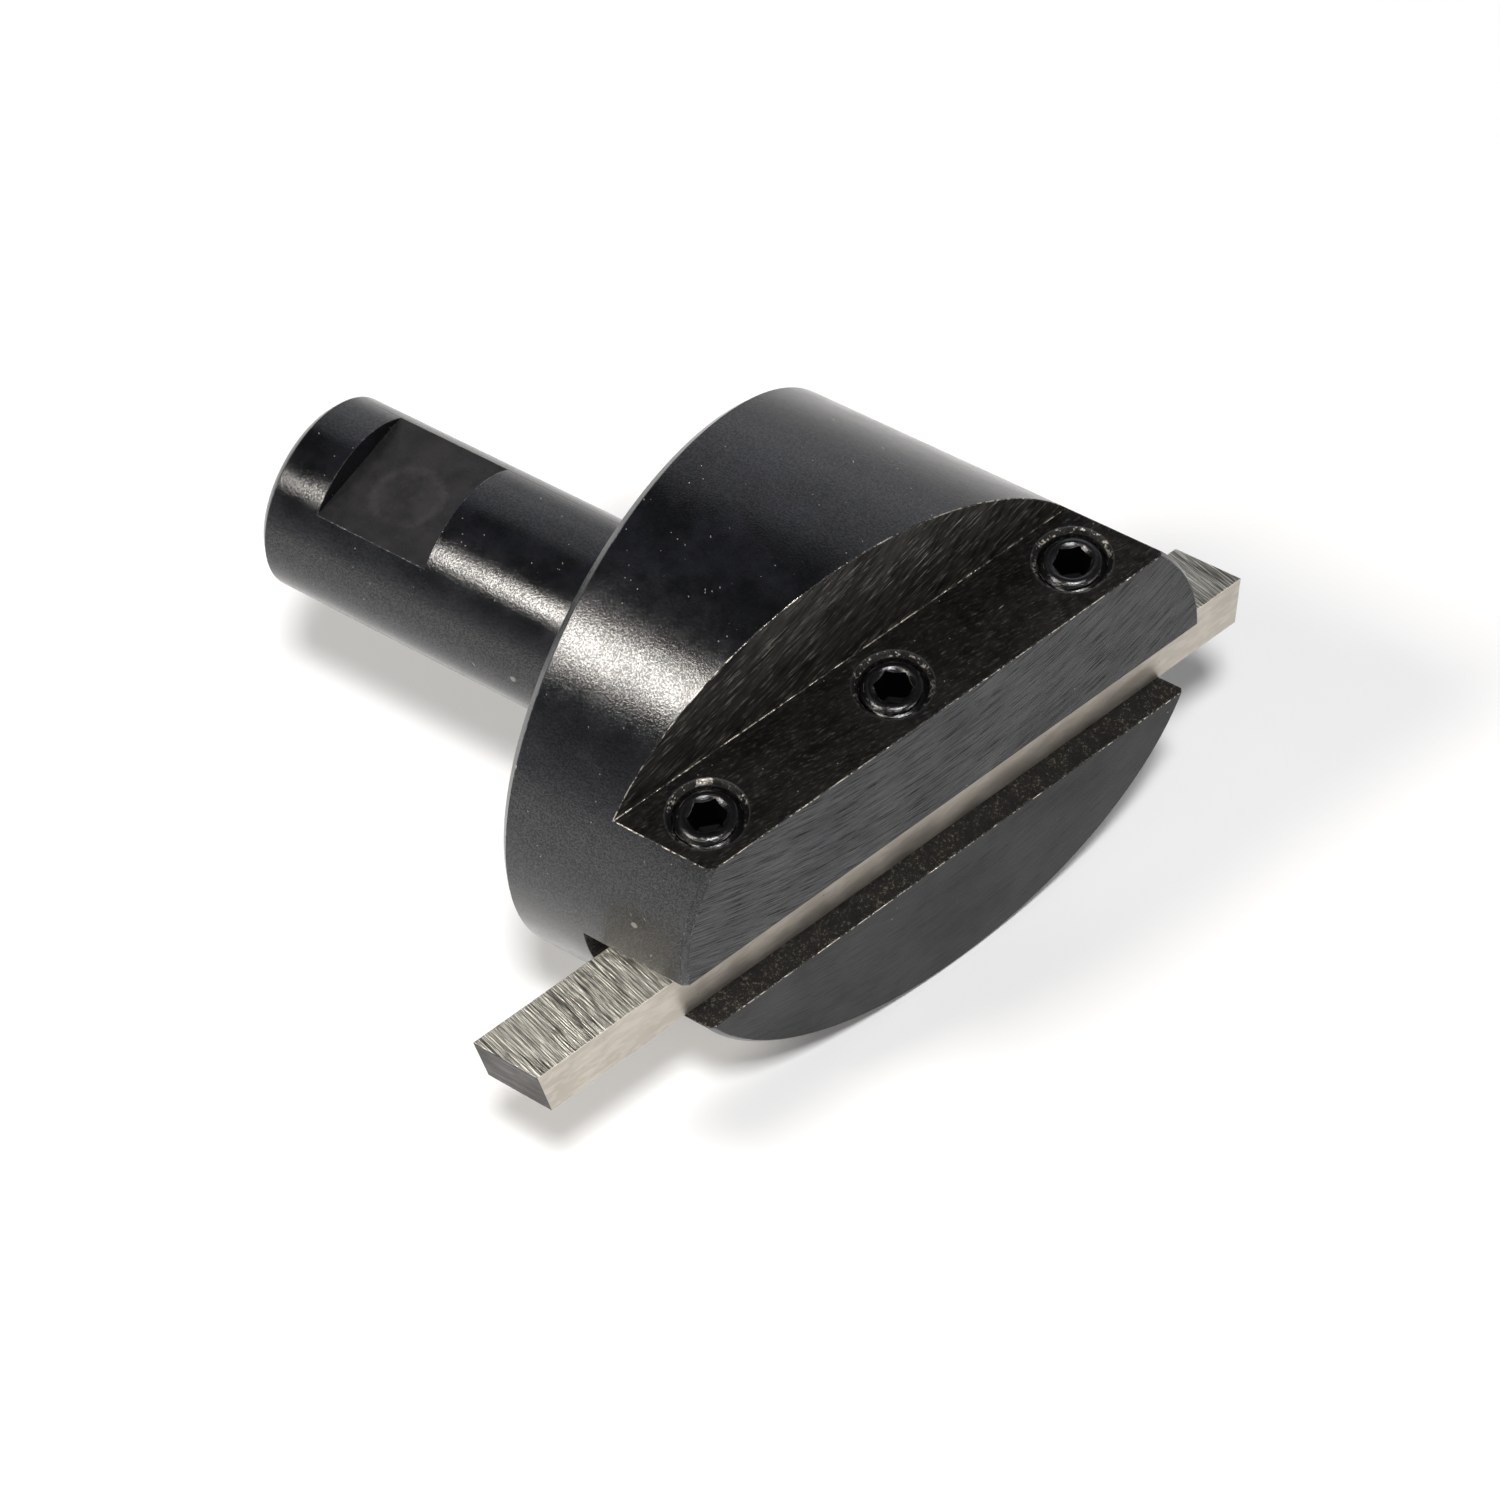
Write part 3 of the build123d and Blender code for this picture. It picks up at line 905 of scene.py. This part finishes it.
def holder_zone(centre, normal, sizes, holes):
    """Which finish a face of the holder has, by its place and the way it looks."""
    outward = front_normal(sizes)
    forward = centre.dot(outward)
    slot_bottom = sizes.slot_top - sizes.slot_height
    near = 0.05 * MM
    facing = 0.99
    from_screw = min(math.hypot(centre.x - hole.x, centre.y - hole.y) for hole in holes)
    on_round = abs(math.hypot(centre.y, centre.z) - HOLDER_HIGH.z) < near
    if normal.dot(outward) > facing and abs(forward - sizes.front_distance) < near:
        # Both jaws are one front plane; the lower one takes a darker, duller copy of the finish as painted
        # shade.
        return FINISHES.index("upper_jaw" if centre.z > 0 else "shaded_lower_jaw")
    if 0.2 < normal.z < 0.95 and from_screw < sizes.hole_radius + sizes.countersink:
        return FINISHES.index("countersink")
    if from_screw < sizes.hole_radius + near and abs(normal.z) < 0.2:
        return FINISHES.index("slot")
    if normal.z > facing and abs(centre.z - sizes.step_height) < near:
        return FINISHES.index("screw_step")
    if normal.dot(outward) > facing and centre.z > sizes.step_height:
        return FINISHES.index("step_wall")
    in_slot = forward > sizes.front_distance - sizes.slot_depth - near
    if in_slot and not on_round and slot_bottom - near < centre.z < sizes.slot_top + near:
        return FINISHES.index("slot")
    if centre.x < 0 and abs(centre.z - sizes.shank_radius + sizes.flat_depth) < near and normal.z > facing:
        return FINISHES.index("lock_flat")
    return FINISHES.index("turned")


def paint_holder(holder, sizes):
    """Gives each face of the holder the finish of its zone."""
    holes = screw_axes()
    for face in holder.data.polygons:
        face.material_index = holder_zone(face.center, face.normal, sizes, holes)


def holder_finishes(colours):
    """The holder's materials, in the order of FINISHES."""
    return [
        turned_black_oxide(),
        milled_black_oxide(
            "step_wall_oxide", tilt=(math.radians(-22.0), 0.0, 0.0), reach=0.12, depth=0.07 * MM,
            hair_wear=0.5, shine=0.6, dark=colours.wall_dark, light=colours.wall_light),
        milled_black_oxide(
            "screw_step_oxide", tilt=(0.0, 0.0, math.radians(6.0)), reach=0.35, depth=0.03 * MM,
            hair_wear=0.06, shine=0.3, dark=colours.facet_dark, light=colours.facet_light),
        faced_black_oxide(
            "upper_jaw_oxide", contrast=0.9, shine=(0.03, 0.4),
            dark=colours.front_dark, light=colours.front_light),
        # The lower jaw: the upper jaw's finish, darker, less reflective and with fainter strokes, as
        # painted shade.
        faced_black_oxide(
            "lower_jaw_oxide", contrast=0.3, shine=(0.14, 0.25),
            dark=colours.lower_shaded_dark, light=colours.lower_shaded_light),
        slot_black_oxide(),
        flat_black_oxide(),
        edge_steel(
            "countersink_steel", bare_from=0.52, dark=linear("#0c0b0a"), light=colours.steel,
            roughness=0.3),
        # Rubbed rims, and the hollow step corner, whose bright stretches are a painted highlight.
        edge_steel(
            "rubbed_edge_steel", bare_from=0.49, dark=linear("#1a1817"), light=colours.steel,
            roughness=0.3),
        edge_steel(
            "dull_edge_steel", bare_from=0.53, dark=linear("#202124"), light=linear("#6c6d70"),
            roughness=0.45),
    ]


class MESH_OT_fly_cutter_holder(bpy.types.Operator):
    """Build the holder body: turned, milled, drilled and worn at its edges"""

    bl_idname = "mesh.fly_cutter_holder"
    bl_label = "Holder Body"
    bl_options = {"REGISTER", "UNDO"}

    def execute(self, context):
        """Builds the holder in the order of its machining and lets it ride on its body."""
        sizes = context.scene.fly_cutter_holder
        holder = holder_blank(sizes)
        mill_holder(holder, sizes)
        drill_holder(holder, sizes)
        for material in holder_finishes(context.scene.fly_cutter_finishes):
            holder.data.materials.append(material)
        paint_holder(holder, sizes)
        round_edges(holder, sizes)
        smooth(holder, math.radians(35))
        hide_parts("holder_body")
        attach(holder, "holder")
        return {"FINISHED"}


# ---------------------------------------------------------------- tool bit


def bit_corner(sizes, holder, side, forward, height):
    """A corner of the tool bit: side is 1 at the cutting end, forward and height are 0 or 1."""
    middle_x = holder.front_distance - sizes.setback - sizes.width / 2
    out = math.cos(holder.slot_angle), -math.sin(holder.slot_angle)
    along = math.sin(holder.slot_angle), math.cos(holder.slot_angle)
    slope = math.tan(sizes.end_bevel)
    relief = math.tan(sizes.end_relief) / math.cos(sizes.end_bevel)
    x = middle_x + (forward - 0.5) * sizes.width
    z = BIT_LOW.z + height * sizes.width
    middle = bit_middle(holder, middle_x)
    y = middle + side * sizes.length / 2 + (x - middle_x) * slope - side * (BIT_HIGH.z - z) * relief
    return Vector((x * out[0] + y * along[0], x * out[1] + y * along[1], z))


def bit_middle(holder, middle_x):
    """Where the middle of the bit lies along the slot, from the CAD bit's ends at Y low and high."""
    along = math.cos(holder.slot_angle)
    shift = middle_x * math.sin(holder.slot_angle)
    return ((BIT_LOW.y + BIT_HIGH.y) / 2 + shift) / along


def bit_shape(sizes, holder):
    """A bmesh of the tool bit, its faces numbered by finish: top and bottom, sides, ends."""
    shape = bmesh.new()
    corners = {}
    for side in (-1, 1):
        for forward in (0, 1):
            for height in (0, 1):
                place = bit_corner(sizes, holder, side, forward, height)
                corners[side, forward, height] = shape.verts.new(place)
    around = ((0, 0), (0, 1), (1, 1), (1, 0))
    for start, end in zip(around, (*around[1:], around[0])):
        shape.faces.new([corners[-1, *start], corners[-1, *end], corners[1, *end], corners[1, *start]])
    for side in (-1, 1):
        shape.faces.new([corners[side, *corner] for corner in around])
    bmesh.ops.recalc_face_normals(shape, faces=shape.faces)
    for face in shape.faces:
        if abs(face.normal.z) > 0.9:
            face.material_index = 0
        elif abs(face.normal.y) > 0.99:
            face.material_index = 2
        else:
            face.material_index = 1
    bmesh.ops.bevel(shape, geom=list(shape.edges), offset=sizes.edge_round, segments=3, profile=0.5,
                    affect="EDGES", clamp_overlap=True, material=-1)
    return shape


def bit_finishes(colours):
    """The tool bit's materials: top and bottom, sides, ends."""
    return [
        # The top's near-black and near-white streaks are painted reflection along real grinding strokes.
        ground_tool_steel(
            "ground_tool_steel_top", slant=math.radians(5.5), stretch=(0.025, 1.0, 1.0), size=0.12,
            contrast=1.0, shades=(colours.tool_steel_dark_reflection, colours.tool_steel, linear("#fffdf4")),
            depth=0.08 * MM, roughness=0.32),
        ground_tool_steel(
            "ground_tool_steel_side", slant=0.0, stretch=(1.0, 0.2, 0.5), size=0.6,
            contrast=0.15, shades=(linear("#6f6a64"), colours.tool_steel_side, linear("#e4ded4")),
            depth=0.02 * MM, roughness=0.45),
        # The end's far darker shades are painted shade.
        ground_tool_steel(
            "ground_tool_steel_end", slant=0.0, stretch=(0.05, 0.05, 1.0), size=0.22,
            contrast=0.55, shades=(linear("#1a1918"), colours.tool_steel_end_shaded, linear("#686460")),
            depth=0.05 * MM, roughness=0.38),
    ]


class MESH_OT_fly_cutter_bit(bpy.types.Operator):
    """Build the tool bit: a square ground blank with slanted ends"""

    bl_idname = "mesh.fly_cutter_bit"
    bl_label = "Tool Bit"
    bl_options = {"REGISTER", "UNDO"}

    def execute(self, context):
        """Builds the bit and lets it ride on its own body."""
        shape = bit_shape(context.scene.fly_cutter_bit, context.scene.fly_cutter_holder)
        bit = new_piece("tool_bit_ground", shape)
        for material in bit_finishes(context.scene.fly_cutter_finishes):
            bit.data.materials.append(material)
        smooth(bit, math.radians(50))
        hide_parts("tool_bit")
        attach(bit, "bit")
        return {"FINISHED"}


# ---------------------------------------------------------------- set screws


def thread_rows(sizes):
    """The thread's outline over one pitch, as (share of the pitch, radius)."""
    depth = sizes.pitch * math.sqrt(3) / 2 * 5 / 8
    flank = depth * math.tan(math.radians(30)) / sizes.pitch
    crest = 1 / 8
    root = 1 / 4
    return [
        (0.0, sizes.radius),
        (crest, sizes.radius),
        (crest + flank, sizes.radius - depth),
        (crest + flank + root, sizes.radius - depth),
    ]


def screw_shape(sizes, top, long, turn):
    """A bmesh of a set screw with a true right-hand thread, from its socket end down."""
    steps = 96
    socket_rings = 3
    shape = bmesh.new()

    def ring(radius_of, height_of):
        """One ring of the screw, whose radius and height may change with the turn."""
        made = []
        for step in range(steps):
            phi = math.tau * step / steps
            radius = radius_of(phi)
            place = (radius * math.cos(phi + turn), radius * math.sin(phi + turn), height_of(phi))
            made.append(shape.verts.new(top + Vector(place)))
        return made

    def hexagon(phi):
        """The distance from the axis to the socket's wall."""
        sixth = math.tau / 6
        return sizes.socket / 2 / math.cos((phi % sixth) - sixth / 2)

    cup = sizes.point_radius - sizes.point_rim
    high, low = 0.0, -long
    soft = sizes.end_chamfer * 0.3
    thread_start = high - 0.18 * MM
    drill_point = 0.45 * MM
    pinhole = 0.02 * MM

    rings = [
        ring(lambda phi: pinhole, lambda phi: -sizes.socket_depth - drill_point),
        ring(lambda phi: hexagon(phi) * 0.98, lambda phi: -sizes.socket_depth),
        ring(hexagon, lambda phi: -sizes.socket_depth + 0.05 * MM),
        ring(hexagon, lambda phi: -(sizes.mouth_radius - hexagon(phi))),
        ring(lambda phi: sizes.mouth_radius, lambda phi: high - 0.05 * MM),
        ring(lambda phi: sizes.mouth_radius + 0.12 * MM, lambda phi: high - 0.01 * MM),
        ring(lambda phi: sizes.mouth_radius + 0.25 * MM, lambda phi: high),
        ring(lambda phi: sizes.radius - sizes.end_chamfer - soft, lambda phi: high - 0.06 * MM),
        ring(lambda phi: sizes.radius - sizes.end_chamfer, lambda phi: thread_start),
    ]
    first_thread = len(rings)
    outline = thread_rows(sizes)
    turns = int(long / sizes.pitch) + 2
    for index in range(turns * len(outline)):
        share, radius = outline[index % len(outline)]
        drop = (index // len(outline) + share - 1) * sizes.pitch

        def height_of(phi, drop=drop):
            """The thread's height: it climbs with the turn, between the two ends."""
            free = -drop + sizes.pitch * (phi / math.tau)
            return min(max(free, low), thread_start)

        def radius_of(phi, radius=radius, height_of=height_of):
            """The thread's radius, cut down by the two end tapers."""
            height = height_of(phi)
            top_cone = sizes.radius - sizes.end_chamfer + (thread_start - height)
            point_cone = sizes.point_radius + (height - low)
            return min(radius, top_cone, point_cone)

        rings.append(ring(radius_of, height_of))
    last_thread = len(rings) - 1
    rings.append(ring(lambda phi: sizes.point_radius, lambda phi: low))
    rings.append(ring(lambda phi: cup, lambda phi: low))
    rings.append(ring(lambda phi: pinhole, lambda phi: low + cup * math.tan(sizes.point_cup)))

    for index, (upper, lower) in enumerate(zip(rings, rings[1:])):
        climbing = first_thread <= index < last_thread
        for step in range(steps):
            after = (step + 1) % steps
            if climbing and after == 0:
                lift = index - len(outline), index + 1 - len(outline)
                if lift[0] < first_thread:
                    corners = [upper[step], upper[after], lower[after], lower[step]]
                else:
                    corners = [upper[step], rings[lift[0]][0], rings[lift[1]][0], lower[step]]
            else:
                corners = [upper[step], upper[after], lower[after], lower[step]]
            shape.faces.new(corners).material_index = 1 if index < socket_rings else 0
    shape.faces.new(rings[0]).material_index = 1
    shape.faces.new(rings[-1])
    bmesh.ops.remove_doubles(shape, verts=shape.verts, dist=0.002 * MM)
    bmesh.ops.dissolve_degenerate(shape, dist=0.001 * MM, edges=shape.edges)
    bmesh.ops.recalc_face_normals(shape, faces=shape.faces)
    return shape


class MESH_OT_fly_cutter_screws(bpy.types.Operator):
    """Build the set screws: hexagon socket, real thread and cup point"""

    bl_idname = "mesh.fly_cutter_screws"
    bl_label = "Set Screws"
    bl_options = {"REGISTER", "UNDO"}

    def execute(self, context):
        """Builds one screw for each screw node and lets it ride on that node's body."""
        sizes = context.scene.fly_cutter_screw
        black = screw_black_oxide()
        # The sockets' near-black is painted shade.
        socket = oily_socket()
        for (node, (body, turn)), top in zip(SCREWS.items(), screw_axes()):
            low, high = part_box(node)
            shape = screw_shape(sizes, top, high.z - low.z, math.radians(turn))
            screw = new_piece(f"{node}_threaded", shape)
            screw.data.materials.append(black)
            screw.data.materials.append(socket)
            screw.data.shade_smooth()
            screw.data.set_sharp_from_angle(angle=math.radians(28))
            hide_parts(node)
            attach(screw, body)
        return {"FINISHED"}


# ---------------------------------------------------------------- stage


class StudioSizes(bpy.types.PropertyGroup):
    """The floor, the lamps and the camera."""

    floor_glow: number("Floor glow", "How much light the floor gives off itself", 0.04)
    key_power: number("Key power", "Power of the key lamp", 1.8, unit="POWER")
    sky_power: number("Sky power", "Power of the large soft box", 0.5, unit="POWER")
    rim_power: number("Rim power", "Power of the lamp that catches the edges", 0.8, unit="POWER")
    shade_power: number("Shade power", "Power of the lamp that casts the shadow", 7.4, unit="POWER")
    room: number("Room", "Brightness of the room overhead, in reflections", 0.06)
    horizon: number("Horizon", "Brightness of the room at eye level, in reflections", 0.85)
    camera_distance: length("Camera distance", "From the aim point to the camera", 312.0)
    camera_azimuth: angle("Camera azimuth", "Direction of the camera, from +X towards +Y", -49.25)
    camera_elevation: angle("Camera elevation", "Height of the camera over the horizon", 56.38)
    camera_roll: angle("Camera roll", "How far the camera is turned about its view", -8.83)
    lens: number("Lens", "Focal length", 85.85, unit="CAMERA")


# Each lamp's azimuth and elevation in degrees, its distance and size in metres, and its colour.
LAMPS = {
    "key": (-127.0, 48.5, 0.6, (0.12, 0.14), "#fffaf3"),
    "sky": (120.0, 30.0, 0.8, (0.5, 0.56), "#f6f8ff"),
    "rim": (2.0, 28.0, 0.8, (0.2, 0.2), "#fff8ee"),
    "shade": (-42.0, 71.0, 1.0, (0.14, 0.14), "#ffffff"),
}
AIM = Vector((10.38, -4.25, 0.0)) * MM
FLOOR_RADIUS = 0.5
BACKDROP = 0.9


def direction(azimuth, elevation):
    """A unit vector from an azimuth, from +X towards +Y, and an elevation."""
    flat = math.cos(elevation)
    return Vector((flat * math.cos(azimuth), flat * math.sin(azimuth), math.sin(elevation)))


def add_lamp(name, power):
    """A rectangular soft lamp that looks at the aim point."""
    azimuth, elevation, distance, size, tint = LAMPS[name]
    towards = direction(math.radians(azimuth), math.radians(elevation))
    light = bpy.data.lights.new(name, "AREA")
    light.shape = "RECTANGLE"
    light.size, light.size_y = size
    light.energy = power
    light.color = linear(tint)[:3]
    lamp = bpy.data.objects.new(name, light)
    lamp.location = AIM + towards * distance
    lamp.rotation_euler = towards.to_track_quat("Z", "Y").to_euler()
    bpy.context.scene.collection.objects.link(lamp)


def add_floor():
    """The paper under the tool."""
    shape = bmesh.new()
    bmesh.ops.create_circle(shape, cap_ends=True, segments=128, radius=FLOOR_RADIUS)
    bmesh.ops.translate(shape, verts=shape.verts, vec=(0, 0, HOLDER_LOW.z))
    floor = new_piece("floor", shape)
    floor.data.materials.append(floor_paper())
    floor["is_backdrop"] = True


def add_room(studio):
    """The room: dim overhead and bright at eye level in reflections, plain behind the tool."""
    world = bpy.data.worlds.new("studio")
    bpy.context.scene.world = world
    world.use_nodes = True
    tree = world.node_tree
    tree.nodes.clear()
    seen = add(tree, "ShaderNodeLightPath", {}, "Is Camera Ray")
    around = add(tree, "ShaderNodeTexCoord", {}, "Generated")
    height = add(tree, "ShaderNodeSeparateXYZ", {0: around}, "Z")
    depth = add(tree, "ShaderNodeMath", {0: 1.0, 1: height}, operation="SUBTRACT", use_clamp=True)
    haze = add(tree, "ShaderNodeMath", {0: depth, 1: 3.0}, operation="POWER")
    room = add(tree, "ShaderNodeMapRange", {
        "Value": haze, "To Min": studio.room, "To Max": studio.horizon,
    })
    strength = add(tree, "ShaderNodeMix", {0: seen, 2: room, 3: BACKDROP}, data_type="FLOAT")
    light = add(tree, "ShaderNodeBackground", {"Color": linear("#fbfcff"), "Strength": strength})
    add(tree, "ShaderNodeOutputWorld", {"Surface": light})


def add_camera(studio):
    """The camera, looking at the aim point."""
    towards = direction(studio.camera_azimuth, studio.camera_elevation)
    data = bpy.data.cameras.new("camera")
    data.lens = studio.lens
    data.sensor_width = 36.0
    data.clip_start = 0.01
    data.clip_end = 20.0
    camera = bpy.data.objects.new("camera", data)
    place = Matrix.Translation(AIM + towards * studio.camera_distance)
    turn = towards.to_track_quat("Z", "Y").to_matrix().to_4x4()
    camera.matrix_world = place @ turn @ Matrix.Rotation(studio.camera_roll, 4, "Z")
    bpy.context.scene.collection.objects.link(camera)
    bpy.context.scene.camera = camera


class SCENE_OT_fly_cutter_stage(bpy.types.Operator):
    """Set the stage: pale floor, soft lamps, a dim room and the camera"""

    bl_idname = "scene.fly_cutter_stage"
    bl_label = "Stage"
    bl_options = {"REGISTER", "UNDO"}

    def execute(self, context):
        """Sets up the floor, lamps, room and camera."""
        studio = context.scene.fly_cutter_studio
        add_floor()
        for name in LAMPS:
            add_lamp(name, getattr(studio, f"{name}_power"))
        add_room(studio)
        add_camera(studio)
        context.scene.view_settings.view_transform = "Standard"
        return {"FINISHED"}


class VIEW3D_PT_fly_cutter(bpy.types.Panel):
    """The sidebar panel that lists the pieces"""

    bl_label = "Fly Cutter"
    bl_idname = "VIEW3D_PT_fly_cutter"
    bl_space_type = "VIEW_3D"
    bl_region_type = "UI"
    bl_category = "Fly Cutter"

    def draw(self, context):
        """Lists an operator for each group of pieces and one for the stage."""
        for operator in (MESH_OT_fly_cutter_holder, MESH_OT_fly_cutter_bit, MESH_OT_fly_cutter_screws,
                         SCENE_OT_fly_cutter_stage):
            self.layout.operator(operator.bl_idname)


GROUPS = {
    "fly_cutter_holder": HolderSizes,
    "fly_cutter_bit": BitSizes,
    "fly_cutter_screw": ScrewSizes,
    "fly_cutter_finishes": Finishes,
    "fly_cutter_studio": StudioSizes,
}
CLASSES = (
    *GROUPS.values(),
    MESH_OT_fly_cutter_holder,
    MESH_OT_fly_cutter_bit,
    MESH_OT_fly_cutter_screws,
    SCENE_OT_fly_cutter_stage,
    VIEW3D_PT_fly_cutter,
)


def register():
    """Registers the classes and hangs the settings on the scene."""
    for item in CLASSES:
        bpy.utils.register_class(item)
    for name, group in GROUPS.items():
        setattr(bpy.types.Scene, name, bpy.props.PointerProperty(type=group))


def unregister():
    """Takes the settings and the classes away again."""
    for name in GROUPS:
        delattr(bpy.types.Scene, name)
    for item in reversed(CLASSES):
        bpy.utils.unregister_class(item)


def corners(box):
    """A box as plain lists of numbers."""
    return [list(corner) for corner in box]


def main():
    cad_box = corners(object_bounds())
    register()
    bpy.ops.mesh.fly_cutter_holder()
    bpy.ops.mesh.fly_cutter_bit()
    bpy.ops.mesh.fly_cutter_screws()
    bpy.ops.scene.fly_cutter_stage()
    {"cad": cad_box, "visual": corners(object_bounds())}


if __name__ == "__main__":
    main()
